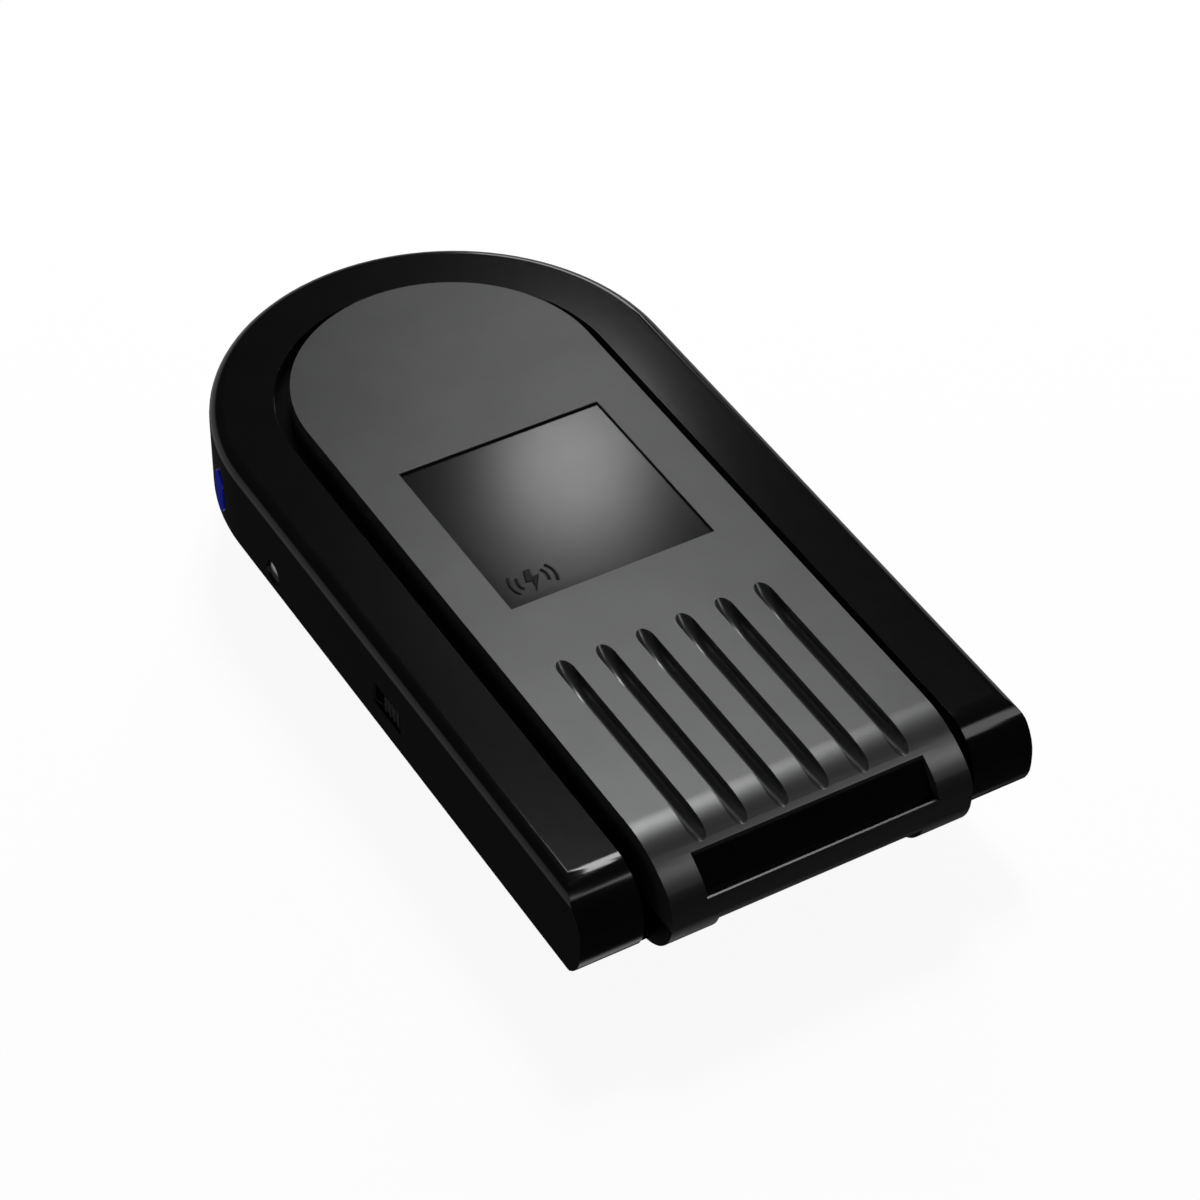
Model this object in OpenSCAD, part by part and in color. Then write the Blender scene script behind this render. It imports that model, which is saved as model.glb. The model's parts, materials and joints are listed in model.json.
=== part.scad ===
// Wireless flash trigger: a flat infrared transmitter that slides into a camera's accessory shoe.
// Millimetres. X to the right, +Y from the infrared window towards the round end, +Z up.
// The origin is under the middle of the case, level with the tip of the shoe contact pin.

/* [Case] */
// Width of the case, and twice the radius of its round end
case_w = 54.5; // [54:0.1:55]
// Length of the case from the window end to the round end
case_l = 106; // [104:0.5:108]
// Thickness of the case from its underside to the top of the centre cover
case_h = 13.2; // [13.1:0.05:13.4]
// Thickness of the case's side walls
wall = 1.5; // [1.4:0.05:1.5]
// Radius of the upper shell's outer top edge
top_edge_r = 1.7; // [1.2:0.1:1.9]
// Radius of the base's outer bottom edge
bottom_edge_r = 1; // [0.7:0.1:1]

/* [Centre cover] */
// Width of the raised centre cover
cover_w = 36; // [35.8:0.1:36.2]
// Height of the centre cover above the upper shell
cover_rise = 1.65; // [1.5:0.05:1.7]
// Width of the dark channel between the centre cover and the upper shell
channel_w = 1.9; // [1.7:0.1:2]
// Thickness of the centre cover's top
cover_t = 2.4; // [2.3:0.05:2.5]
// Radius of the first, wide bend at the window end
curl_big_r = 12; // [11.8:0.1:12.2]
// Angle at which the wide bend tightens
curl_turn = 42.5; // [41:0.5:44]
// Radius of the second, tight bend at the window end
curl_small_r = 3.4; // [3.2:0.1:3.6]

/* [Thumb grooves] */
// Number of thumb grooves
groove_n = 6; // [4:1:6]
// Distance between neighbouring grooves
groove_pitch = 4.86; // [4.6:0.02:4.9]
// Radius of a groove's round floor, and half of its width
groove_r = 0.95; // [0.8:0.05:1]
// Depth of a groove along its middle
groove_d = 1.85; // [1.6:0.05:1.9]

/* [Label] */
// Side of the square label plate
label_w = 25.2; // [24:0.1:25.4]
// Depth of the label plate below the cover's top
label_sink = 0.3; // [0.2:0.05:0.35]

/* [Window] */
// Width of the infrared window's opening
window_w = 27.8; // [27:0.1:28.2]
// Depth of the window's upper edge below the cover's surface
window_sink = 0.5; // [0.4:0.05:0.6]
// Depth of the window's lower edge behind the front of the case
window_low_sink = 1.6; // [1.4:0.1:1.7]

/* [Accessory shoe] */
// Width of the foot plate
foot_w = 18.6; // [18.5:0.05:18.6]
// Length of the foot plate
foot_l = 18; // [17.5:0.1:18.3]
// Thickness of the foot plate
foot_t = 2; // [1.9:0.05:2]
// Diameter of the foot's threaded column
column_d = 12; // [11.8:0.1:12.2]
// Gap between the foot plate and the clamp washer with the wheel undone
shoe_gap = 2.2; // [2.1:0.1:2.4]
// Diameter of the lock wheel
wheel_d = 25; // [24:0.5:26]
// Height that the contact pin stands out of the foot plate
pin_proud = 0.4; // [0.3:0.05:0.5]

/* [Power cell and socket] */
// Diameter of the coin cell
cell_d = 24.5; // [24.4:0.05:24.5]
// Thickness of the coin cell
cell_t = 5; // [4.9:0.05:5]
// Radius of the sync socket's bore
jack_bore_r = 1.8; // [1.75:0.01:1.85]
// Length of the sync socket's bore
jack_bore_l = 11; // [10:0.5:12]

/* [Hidden] */

$fn = 64;
slack = 0.05;      // clearance of a running or located fit
cut = 1;           // how far a cutting shape runs past a face
arc_steps = 8;     // straight steps in a quarter-round edge
bend_steps = 14;   // straight steps in each bend of the window end

// Plan
case_r = case_w / 2;
front_y = -case_l / 2;
arc_y = case_l / 2 - case_r;
cover_r = cover_w / 2;
channel_r = cover_r + channel_w;
shoulder_back = 2.35;
shoulder_y = front_y + shoulder_back;
inner_r = case_r - wall;

// Heights, from the tip of the contact pin upwards
foot_top = pin_proud + foot_t;
washer_t = 0.8;
washer_z = foot_top + shoe_gap;
wheel_t = 2.6;
wheel_z = washer_z + washer_t;
wheel_clear = 0.3;
base_z = wheel_z + wheel_t + wheel_clear;
top_z = base_z + case_h;
shell_top = top_z - cover_rise;
part_z = base_z + 1.1;
floor_z = base_z + 1.4;
nose_part_z = top_z - 7.6;
ledge_top = top_z - 3.6;
ledge_bottom = top_z - 4.8;
board_t = 1.2;
board_z = base_z + 4.3;
board_top = board_z + board_t;

// Window end: the centre cover's bends and its round nose
curl_rest = curl_small_r * (1 - sin(curl_turn));
curl_y = front_y + curl_big_r * sin(curl_turn) + curl_rest;
nose_r = 6.5;
nose_z = base_z + nose_r;
shoulder_top_r = 5.4;
shoulder_low_r = 4.9;
front_room_y = front_y + 12.7;
skirt_t = 1.4;
nose_wall = 1.5;
nose_notch_w = 24.6;
nose_notch_d = 0.75;
nose_back_y = front_y + nose_r + 3.5;

// Channel and ledge inside the upper shell
channel_wall = 1.3;
trough_r = channel_r + channel_wall;
ledge_r = 15.8;

// Window
window_top_y = front_y + 3.6;
window_low_z = top_z - 4.85;
lip_drop = 1.2;

// Label
label_y = arc_y - 23.95;
label_t = 0.8;
glyph_t = 0.15;

// Thumb grooves
groove_start_y = arc_y - 51.3;
groove_ramp_r = 8;
groove_ramp_turn = 40;
groove_end_y = curl_y + 2;
groove_rise_r = 34;
groove_rise_turn = 15;

// Fasteners
case_screw_spots = [[23.3, front_y + 13.2], [23.3, arc_y - 3]];
cover_screw_spots = [[14.2, front_y + 21], [14.2, arc_y - 17.5]];
board_screw_spots = [[18.2, front_y + 18], [18.2, arc_y - 24]];
screw_r = 1;
screw_head_r = 1.9;
screw_head_t = 0.9;
small_screw_r = 0.8;
small_head_r = 1.5;
small_head_t = 0.8;
drive_slot_w = 0.6;
case_screw_l = 4.6;
cover_screw_l = 2.2;
board_screw_l = 3.6;
foot_screw_l = 5;

// Accessory shoe
foot_y = -1.5;
column_r = column_d / 2;
column_top = base_z;
key_w = 1.6;
key_d = 0.6;
insulator_r = 2.9;
pin_r = 1.1;
collar_r = 1.95;
spring_r = 1.55;
spring_wire_r = 0.22;
spring_turns = 5;
pin_bore_z = foot_top - 0.2;
collar_t = 0.8;
terminal_t = 1.2;
terminal_z = column_top - terminal_t;
foot_screw_ring_r = 4.5;
pad_r = 8;
pad_t = 0.6;
tail_top = floor_z + pad_t + 0.6;
knurl_n = 36;

// Battery compartment
door_r = 14.4;
door_flange_t = 0.8;
door_hub_r = 13;
lip_r = 13.15;
lug_w = 4.4;
lug_t = 0.6;
lug_n = 3;
door_turn = 45;
door_hub_top = base_z + 2.05;
lug_z = floor_z + slack;
cell_z = base_z + 2.2;
cell_r = cell_d / 2;
cell_cap_t = 0.6;
cell_top = cell_z + cell_t;
holder_r = 13.9;
holder_z = cell_z + 0.1;
holder_top = ledge_bottom - 0.1;
holder_roof_z = cell_top + 0.3;
ear_l = 17;
ear_w = 5;
ear_t = 1.2;
ear_turns = [30, 150];
clip_half_w = 3;
clip_t = 0.3;
clip_y = cell_r + slack;

// Main board
board_r = inner_r - 1.45;
board_y0 = front_y + 15;
board_hole_r = 14.2;

// Left wall: status light, test button and power slider
lens_angle = 168.8;
lens_z = base_z + 4.4;
lens_half = 1.2;
lens_r = 1.5;
button_y = arc_y - 8.7;
button_z = base_z + 3;
button_r = 1.5;
button_flange_r = 1.85;
button_flange_t = 0.6;
button_dome = 0.35;
button_stem_r = 0.8;
switch_face_x = -24.2;
switch_depth = 3.6;
switch_h = 2.6;
test_switch_half = 2.2;
slider_y = arc_y - 35.5;
slider_z = base_z + 5;
scoop_half_h = 1.5;
scoop_r = 9;
scoop_depth = 0.6;
slot_half_h = 1.1;
slot_half = 2.7;
knob_half = 1.6;
knob_shift = 1;
carrier_t = 0.8;
carrier_half = 4.4;
lever_half = 0.7;
lever_low_z = board_z - 1.9;
lever_high_z = board_z - 0.8;

// Right wall: sync socket
socket_y = arc_y - 35.5;
socket_z = board_z + board_t / 2;
socket_r = 3;
socket_half_w = 3;
socket_half_h = 2.5;
socket_body_x = inner_r - 0.1;
socket_body_l = 12.6;
socket_bore_x = case_r - jack_bore_l;
socket_chamber_l = 1.6;

// Infrared emitters
emitter_n = 5;
emitter_pitch = 6;
emitter_r = 2.5;
emitter_z = top_z - 5.6;
emitter_tip_y = front_y + 4.6;
emitter_flange_t = 1;
emitter_board_y = front_y + 13.4;
emitter_board_t = 1;
emitter_body_l = emitter_board_y - emitter_tip_y - emitter_r;
holder_plate_y = front_y + 9.5;
holder_plate_t = 1.5;
emitter_room_z = top_z - cover_t - 0.4;

// Points along an arc about (cx, cy), from angle a0 to a1
function arc(cx, cy, r, a0, a1, n) =
    [for (i = [0 : n]) let (a = a0 + (a1 - a0) * i / n) [cx + r * cos(a), cy + r * sin(a)]];

function mirrored(pts) = [for (i = [len(pts) - 1 : -1 : 0]) [-pts[i][0], pts[i][1]]];

// Half of a cross-section, from the centre line out to r, with rounded outer edges
function half_section(r, z0, z1, low_r, high_r) = concat(
    [[0, z0]],
    low_r > 0 ? arc(r - low_r, z0 + low_r, low_r, -90, 0, arc_steps) : [[r, z0]],
    high_r > 0 ? arc(r - high_r, z1 - high_r, high_r, 0, 90, arc_steps) : [[r, z1]],
    [[0, z1]]);

// Side outline of the cover's window end, moved inwards by d
function curl_points(d) = concat(
    arc(curl_y, top_z - curl_big_r, curl_big_r - d, 90, 90 + curl_turn, bend_steps),
    arc(front_y + curl_small_r, top_z - curl_big_r
        + (curl_big_r - curl_small_r) * cos(curl_turn),
        curl_small_r - d, 90 + curl_turn, 180, bend_steps));

function nose_points(r) = arc(front_y + nose_r, nose_z, r, 180, 270, bend_steps);

// A flat outline in (y, z) made into a prism across X
module prism_x(pts, half_w) {
    rotate([90, 0, 90])
        translate([0, 0, -half_w])
            linear_extrude(2 * half_w)
                polygon(pts);
}

// The case's arch-ended shape: a straight run and a half turn of the same section
module arch(r, z0, z1, y0, low_r = 0, high_r = 0) {
    half = half_section(r, z0, z1, low_r, high_r);
    translate([0, arc_y, 0])
        rotate_extrude(angle = 180)
            polygon(half);
    translate([0, arc_y, 0])
        rotate([90, 0, 0])
            linear_extrude(arc_y - y0)
                polygon(concat(half, mirrored(half)));
}

// Side outline of the case's shoulders beside the cover, moved inwards by d
module shoulder_prism(d) {
    back_y = case_l;
    prism_x(concat(
        [[back_y, base_z + d], [back_y, shell_top - d]],
        arc(shoulder_y + shoulder_top_r, shell_top - shoulder_top_r,
            shoulder_top_r - d, 90, 180, arc_steps),
        arc(shoulder_y + shoulder_low_r, base_z + shoulder_low_r,
            shoulder_low_r - d, 180, 270, arc_steps)), case_w);
}

module at_pairs(spots) {
    for (s = spots, side = [-1, 1])
        translate([side * s[0], s[1], 0])
            children();
}

module in_wall(x, y, z) {
    translate([x, y, z])
        rotate([0, 90, 0])
            children();
}

module status_spot() {
    translate([0, arc_y, lens_z])
        rotate([0, 0, lens_angle])
            children();
}

// An upright oval bar along +X
module oval(x0, x1, r, half) {
    for (side = [-1, 1])
        translate([x0, 0, side * half])
            rotate([0, 90, 0])
                cylinder(r = r, h = x1 - x0);
    translate([x0, -r, -half])
        cube([x1 - x0, 2 * r, 2 * half]);
}

module screw(r, length, head_r, head_t) {
    slot_half = drive_slot_w / 2;
    slot_l = 0.6 * head_r;
    difference() {
        union() {
            cylinder(r = head_r, h = head_t);
            translate([0, 0, head_t])
                cylinder(r = r, h = length);
        }
        span([-slot_half, -slot_l, -cut], [slot_half, slot_l, head_t / 2]);
        span([-slot_l, -slot_half, -cut], [slot_l, slot_half, head_t / 2]);
    }
}

module door_spot() {
    translate([0, arc_y, 0])
        children();
}

module foot_spot() {
    translate([0, foot_y, 0])
        children();
}

module foot_screw_spots() {
    for (a = [45 : 90 : 315])
        translate([0, foot_y, 0])
            rotate([0, 0, a])
                translate([foot_screw_ring_r, 0, 0])
                    children();
}

// A box given by its low corner and high corner
module span(low, high) {
    translate(low)
        cube(high - low);
}

module slider_scoop() {
    translate([-case_r - scoop_r + scoop_depth, slider_y, slider_z - scoop_half_h])
        cylinder(r = scoop_r, h = 2 * scoop_half_h);
}

module upper_shell() {
    boss_r = 2.6;
    boss_h = 5.5;
    boss_roof = 1;
    web = 0.6;
    color("#17171a") {
        difference() {
            union() {
                difference() {
                    intersection() {
                        arch(case_r, part_z, shell_top, front_y - cut, 0, top_edge_r);
                        shoulder_prism(0);
                    }
                    intersection() {
                        arch(inner_r, part_z - cut, shell_top - wall, front_y - cut);
                        shoulder_prism(wall);
                    }
                    arch(inner_r, part_z - cut, floor_z + web, shoulder_y + shoulder_low_r);
                }
                intersection() {
                    union() {
                        arch(trough_r, ledge_bottom, shell_top - web, front_y - cut);
                        span([-trough_r, front_y - cut, part_z],
                            [trough_r, front_room_y + skirt_t, shell_top - web]);
                    }
                    shoulder_prism(0);
                }
                at_pairs(case_screw_spots)
                    translate([0, 0, floor_z])
                        cylinder(r = boss_r, h = boss_h);
            }
            arch(channel_r, ledge_top, top_z + cut, front_y - cut);
            span([-channel_r, front_y - cut, base_z - cut],
                [channel_r, front_room_y, top_z + cut]);
            arch(ledge_r, base_z - cut, ledge_top + cut, front_y - cut);
            span([-trough_r - cut, shoulder_y + shoulder_low_r, base_z - cut],
                [trough_r + cut, front_room_y + skirt_t + cut, floor_z]);
            at_pairs(case_screw_spots)
                translate([0, 0, floor_z - cut])
                    cylinder(r = screw_r + slack, h = cut + boss_h - boss_roof);
            status_spot()
                oval(inner_r - cut, case_r + cut, lens_r + slack, lens_half);
            in_wall(-case_r - cut, button_y, button_z)
                cylinder(r = button_r + slack, h = wall + 2 * cut);
            slider_scoop();
            span([-case_r - cut, slider_y - slot_half, slider_z - slot_half_h],
                [-inner_r + cut, slider_y + slot_half, slider_z + slot_half_h]);
            in_wall(inner_r - cut, socket_y, socket_z)
                cylinder(r = socket_r + slack, h = wall + 2 * cut);
        }
        cover_tabs();
    }
}

// Ledge tabs that the cover's screws pull against
module cover_tabs() {
    tab_r = 2.2;
    tab_root = 0.6;
    difference() {
        for (s = cover_screw_spots, side = [-1, 1]) {
            translate([side * s[0], s[1], ledge_bottom])
                cylinder(r = tab_r, h = ledge_top - ledge_bottom);
            translate([side * (s[0] + (tab_r + tab_root) / 2), s[1],
                (ledge_bottom + ledge_top) / 2])
                cube([tab_r + tab_root, 2 * tab_r, ledge_top - ledge_bottom], center = true);
        }
        at_pairs(cover_screw_spots)
            translate([0, 0, ledge_bottom - cut])
                cylinder(r = small_screw_r + slack, h = case_h);
    }
}

module base_nose() {
    pocket_half = cover_r - skirt_t;
    difference() {
        prism_x(concat(nose_points(nose_r),
            [[front_room_y - slack, base_z], [front_room_y - slack, nose_z]]), cover_r);
        prism_x(concat(nose_points(nose_r - nose_wall),
            [[front_room_y + cut, base_z + nose_wall], [front_room_y + cut, nose_z]]),
            pocket_half);
        span([-case_r, front_y - cut, nose_part_z], [case_r, front_room_y + cut, top_z]);
    }
}

module base_shell() {
    post_r = 2;
    post_skin = 1;
    notch_turn = 20;
    recess_r = screw_head_r + 2 * slack;
    lug_room = 0.3;
    switch_room = 0.2;
    color("#141416")
        difference() {
            union() {
                intersection() {
                    arch(case_r, base_z, part_z, front_y - cut, bottom_edge_r, 0);
                    shoulder_prism(0);
                }
                arch(inner_r - 2 * slack, part_z - slack, floor_z,
                    shoulder_y + shoulder_low_r);
                base_nose();
                foot_spot()
                    translate([0, 0, floor_z - slack])
                        cylinder(r = pad_r, h = pad_t + slack);
                at_pairs(board_screw_spots)
                    translate([0, 0, floor_z - slack])
                        cylinder(r = post_r, h = board_z - floor_z + slack);
            }
            prism_x(concat(
                arc(front_y + nose_r, nose_z, nose_r - nose_notch_d, 180 + notch_turn, 270,
                    bend_steps),
                [[nose_back_y, base_z + nose_notch_d], [nose_back_y, base_z - cut],
                [front_y - cut, base_z - cut],
                [front_y - cut, nose_z - (nose_r - nose_notch_d) * sin(notch_turn)]]),
                nose_notch_w / 2);
            door_spot() {
                translate([0, 0, base_z - cut])
                    cylinder(r = lip_r, h = case_h);
                translate([0, 0, base_z - cut])
                    cylinder(r = door_r + 2 * slack, h = door_flange_t + cut);
                for (i = [0 : lug_n - 1])
                    rotate([0, 0, i * 360 / lug_n - door_turn])
                        span([0, -lug_w / 2 - lug_room, base_z],
                            [door_r + slack, lug_w / 2 + lug_room, floor_z + cut]);
            }
            at_pairs(case_screw_spots) {
                translate([0, 0, base_z - cut])
                    cylinder(r = screw_r + slack, h = case_h);
                translate([0, 0, base_z - cut])
                    cylinder(r = recess_r, h = screw_head_t + cut);
            }
            at_pairs(board_screw_spots)
                translate([0, 0, base_z + post_skin])
                    cylinder(r = small_screw_r + slack, h = board_z);
            foot_screw_spots()
                translate([0, 0, base_z - cut])
                    cylinder(r = small_screw_r + slack, h = case_h);
            foot_spot()
                translate([0, 0, base_z - cut])
                    cylinder(r = pin_r, h = case_h);
            span([-inner_r, button_y - test_switch_half - switch_room, part_z],
                [switch_face_x - switch_room, button_y + test_switch_half + switch_room,
                board_z]);
        }
}

module centre_cover() {
    boss_r = 2.2;
    pilot_d = 1.4;
    lip_land = 0.35;
    lip_root = 0.6;
    lip_y = front_y + nose_r - sqrt(pow(nose_r, 2) - pow(nose_z - nose_part_z, 2));
    back_y = case_l;
    color("#3d3e40") {
        difference() {
            intersection() {
                arch(cover_r, nose_part_z, top_z, front_y - cut);
                prism_x(concat([[back_y, ledge_top], [back_y, top_z]], curl_points(0),
                    [[front_y, nose_z], [lip_y, nose_part_z],
                    [front_room_y - slack, nose_part_z], [front_room_y - slack, ledge_top]]),
                    case_w);
            }
            intersection() {
                arch(cover_r - skirt_t, nose_part_z - cut, top_z, front_y - cut);
                prism_x(concat([[back_y, nose_part_z - cut], [back_y, top_z - cover_t]],
                    curl_points(cover_t), [[front_y + cover_t, nose_part_z - cut]]), case_w);
            }
            span([-window_w / 2, front_y - cut, window_low_z],
                [window_w / 2, window_top_y, top_z + cut]);
            prism_x([[front_y + lip_land, window_low_z + slack],
                [front_y + lip_root, window_low_z - lip_drop],
                [front_y + cover_t + cut, window_low_z - lip_drop],
                [front_y + cover_t + cut, window_low_z + slack]], window_w / 2);
            thumb_grooves();
            span([-label_w / 2, label_y - label_w / 2, top_z - label_sink - label_t],
                [label_w / 2, label_y + label_w / 2, top_z + cut]);
        }
        difference() {
            at_pairs(cover_screw_spots)
                translate([0, 0, ledge_top])
                    cylinder(r = boss_r, h = top_z - cover_t - ledge_top + slack);
            at_pairs(cover_screw_spots)
                translate([0, 0, ledge_top - cut])
                    cylinder(r = small_screw_r + slack, h = cut + pilot_d);
        }
    }
}

// A groove's straight-sided, round-floored section turned about an axis above its floor
module groove_arc(bend_r, turn) {
    side_h = groove_d;
    rotate_extrude(angle = turn)
        translate([bend_r, 0])
            circle(r = groove_r);
    rotate_extrude(angle = turn)
        translate([bend_r - side_h, -groove_r])
            square([side_h, 2 * groove_r]);
}

// Grooves that ramp up at their rear ends, and rise and run out over the curl at the front
module thumb_grooves() {
    axis_z = top_z - groove_d + groove_r;
    for (i = [0 : groove_n - 1])
        translate([(i - (groove_n - 1) / 2) * groove_pitch, 0, axis_z]) {
            translate([0, groove_start_y, 0])
                rotate([90, 0, 0])
                    cylinder(r = groove_r, h = groove_start_y - groove_end_y);
            span([-groove_r, groove_end_y, 0], [groove_r, groove_start_y, groove_d]);
            translate([0, groove_start_y, groove_ramp_r])
                rotate([0, 90, 0])
                    groove_arc(groove_ramp_r, groove_ramp_turn);
            translate([0, groove_end_y, groove_rise_r])
                rotate([0, 90, 0])
                    rotate([0, 0, -groove_rise_turn])
                        groove_arc(groove_rise_r, groove_rise_turn);
        }
}

// Generic bolt between two pairs of signal arcs
module signal_glyph() {
    bolt = [[-0.3, 1.6], [0.5, 1.6], [0.15, 0.4], [0.9, 0.4], [-0.5, -1.7], [-0.1, -0.2],
        [-0.9, -0.2]];
    line_w = 0.28;
    arc_radii = [1.9, 2.8];
    fan = [[0, 0], [3, 1.9], [3, -1.9]];
    linear_extrude(glyph_t) {
        polygon(bolt);
        for (side = [0, 180], r = arc_radii)
            rotate([0, 0, side])
                intersection() {
                    difference() {
                        circle(r = r);
                        circle(r = r - line_w);
                    }
                    polygon(fan);
                }
    }
}

module label_plate() {
    half = label_w / 2 - slack;
    plate_z = top_z - label_sink - label_t;
    glyph_x = 4.4;
    glyph_y = 3.2;
    color("#2b2c2e") {
        translate([-half, label_y - half, plate_z])
            cube([2 * half, 2 * half, label_t]);
        translate([glyph_x - half, label_y - half + glyph_y, plate_z + label_t])
            signal_glyph();
    }
}

module ir_window() {
    pane_t = 2.5;
    flange_rim = 1;
    flange_half = window_w / 2 + flange_rim;
    pane_half = window_w / 2 - slack;
    flange_d = cover_t + slack;
    pane_top_z = top_z - curl_big_r
        + sqrt(pow(curl_big_r - window_sink, 2) - pow(window_top_y - curl_y, 2));
    pane_slope = (window_top_y - front_y - window_low_sink) / (pane_top_z - window_low_z);
    pane_low_y = front_y + window_low_sink - lip_drop * pane_slope;
    pane_low_z = window_low_z - lip_drop;
    color("#160405") {
        intersection() {
            prism_x([[window_top_y, pane_top_z],
                [pane_low_y, pane_low_z],
                [pane_low_y, nose_part_z],
                [front_y + window_sink + pane_t, nose_part_z],
                [curl_y, top_z - window_sink - pane_t]], pane_half);
            difference() {
                span([-pane_half, front_y - cut, pane_low_z + slack],
                    [pane_half, window_top_y - slack, top_z]);
                prism_x(concat(curl_points(window_sink + pane_t),
                    [[front_y + window_sink + pane_t, nose_part_z], [curl_y, nose_part_z]]),
                    case_w);
            }
        }
        intersection() {
            difference() {
                prism_x(concat(curl_points(flange_d), [[front_y + flange_d, nose_part_z],
                    [curl_y, nose_part_z]]), flange_half);
                prism_x(concat(curl_points(window_sink + pane_t),
                    [[front_y + window_sink + pane_t, nose_part_z], [curl_y, nose_part_z]]),
                    case_w);
            }
            span([-flange_half, front_y - cut, pane_low_z - flange_rim],
                [flange_half, window_top_y + flange_rim, top_z]);
        }
    }
}

module case_screws() {
    color("#3a3a3c")
        at_pairs(case_screw_spots)
            translate([0, 0, base_z])
                screw(screw_r, case_screw_l, screw_head_r, screw_head_t);
}

module cover_screws() {
    color("#8d8f92")
        at_pairs(cover_screw_spots)
            translate([0, 0, ledge_bottom - small_head_t])
                screw(small_screw_r, cover_screw_l, small_head_r, small_head_t);
}

module board_screws() {
    color("#8d8f92")
        at_pairs(board_screw_spots)
            translate([0, 0, board_top + small_head_t])
                mirror([0, 0, 1])
                    screw(small_screw_r, board_screw_l, small_head_r, small_head_t);
}

module foot_screws() {
    color("#8d8f92")
        foot_screw_spots()
            translate([0, 0, floor_z + pad_t + small_head_t])
                mirror([0, 0, 1])
                    screw(small_screw_r, foot_screw_l, small_head_r, small_head_t);
}

module foot_plate() {
    corner = 1.2;
    half_w = foot_w / 2;
    half_l = foot_l / 2;
    color("#9a9c9f")
        foot_spot()
            difference() {
                translate([0, 0, pin_proud])
                    linear_extrude(foot_t)
                        polygon([[-half_w + corner, -half_l], [half_w - corner, -half_l],
                            [half_w, -half_l + corner], [half_w, half_l - corner],
                            [half_w - corner, half_l], [-half_w + corner, half_l],
                            [-half_w, half_l - corner], [-half_w, -half_l + corner]]);
                cylinder(r = insulator_r + slack / 2, h = foot_top + cut);
            }
}

module key_pair(r0, r1, w, z0, z1) {
    for (side = [0, 180])
        rotate([0, 0, side])
            span([r0, -w / 2, z0], [r1, w / 2, z1]);
}

module foot_column() {
    key_stop = 1;
    screw_bite = 3.4;
    color("#8f9194")
        foot_spot()
            difference() {
                translate([0, 0, foot_top])
                    cylinder(r = column_r, h = column_top - foot_top);
                cylinder(r = insulator_r + slack / 2, h = column_top + cut);
                key_pair(column_r - key_d, column_r + cut, key_w, foot_top - cut,
                    column_top - key_stop);
                translate([0, -foot_y, 0])
                    foot_screw_spots()
                        translate([0, 0, column_top - screw_bite])
                            cylinder(r = small_screw_r + slack, h = case_h);
            }
}

module clamp_washer() {
    washer_r = 11;
    key_gap = 0.1;
    key_root = 0.6;
    color("#7c7e81")
        foot_spot() {
            difference() {
                translate([0, 0, washer_z])
                    cylinder(r = washer_r, h = washer_t);
                cylinder(r = column_r + slack, h = base_z);
            }
            difference() {
                key_pair(column_r - key_d + key_gap, column_r + key_root, key_w - 2 * key_gap,
                    washer_z, washer_z + washer_t);
                cylinder(r = column_r - key_d + key_gap, h = base_z);
            }
        }
}

module lock_wheel() {
    wheel_r = wheel_d / 2;
    notch_r = 0.7;
    notch_out = 0.25;
    edge = 0.5;
    color("#1c1c1f")
        foot_spot()
            difference() {
                translate([0, 0, wheel_z])
                    rotate_extrude()
                        polygon([[column_r + slack, 0], [wheel_r - edge, 0], [wheel_r, edge],
                            [wheel_r, wheel_t - edge], [wheel_r - edge, wheel_t],
                            [column_r + slack, wheel_t]]);
                for (i = [0 : knurl_n - 1])
                    rotate([0, 0, i * 360 / knurl_n])
                        translate([wheel_r + notch_out, 0, wheel_z - cut])
                            cylinder(r = notch_r, h = wheel_t + 2 * cut);
            }
}

module pin_insulator() {
    color("#202022")
        foot_spot()
            difference() {
                translate([0, 0, pin_proud])
                    cylinder(r = insulator_r, h = column_top - pin_proud);
                cylinder(r = pin_r + slack, h = base_z);
                translate([0, 0, pin_bore_z])
                    cylinder(r = collar_r + slack, h = base_z);
            }
}

module contact_pin() {
    dome = 0.3;
    stem_r = 0.9;
    stem_l = 1;
    color("#c9a24a")
        foot_spot()
            rotate_extrude()
                polygon([[0, 0], [pin_r * 0.6, dome * 0.25], [pin_r * 0.88, dome * 0.6],
                    [pin_r, dome * 1.4], [pin_r, pin_bore_z + slack],
                    [collar_r, pin_bore_z + slack], [collar_r, pin_bore_z + collar_t],
                    [stem_r, pin_bore_z + collar_t], [stem_r, pin_bore_z + collar_t + stem_l],
                    [0, pin_bore_z + collar_t + stem_l]]);
}

// A coil spring's wire, swept as rings of points along a helix
module pin_spring() {
    sides = 6;
    rings = 60;
    low = pin_bore_z + collar_t + spring_wire_r + slack;
    rise = terminal_z - low - spring_wire_r - slack;
    points = [for (i = [0 : rings], j = [0 : sides - 1])
        let (a = 360 * spring_turns * i / rings, b = 360 * j / sides,
            r = spring_r + spring_wire_r * cos(b))
        [r * cos(a), r * sin(a), low + rise * i / rings + spring_wire_r * sin(b)]];
    walls = [for (i = [0 : rings - 1], j = [0 : sides - 1])
        let (k = (j + 1) % sides)
        [i * sides + j, i * sides + k, (i + 1) * sides + k, (i + 1) * sides + j]];
    start = [for (j = [sides - 1 : -1 : 0]) j];
    end = [for (j = [0 : sides - 1]) rings * sides + j];
    color("#b9bbbe")
        foot_spot()
            polyhedron(points, concat(walls, [start, end]));
}

module pin_terminal() {
    tail_r = 0.6;
    color("#c9a24a")
        foot_spot() {
            translate([0, 0, terminal_z])
                cylinder(r = collar_r, h = terminal_t);
            translate([0, 0, column_top])
                cylinder(r = tail_r, h = tail_top - column_top);
        }
}

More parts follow.
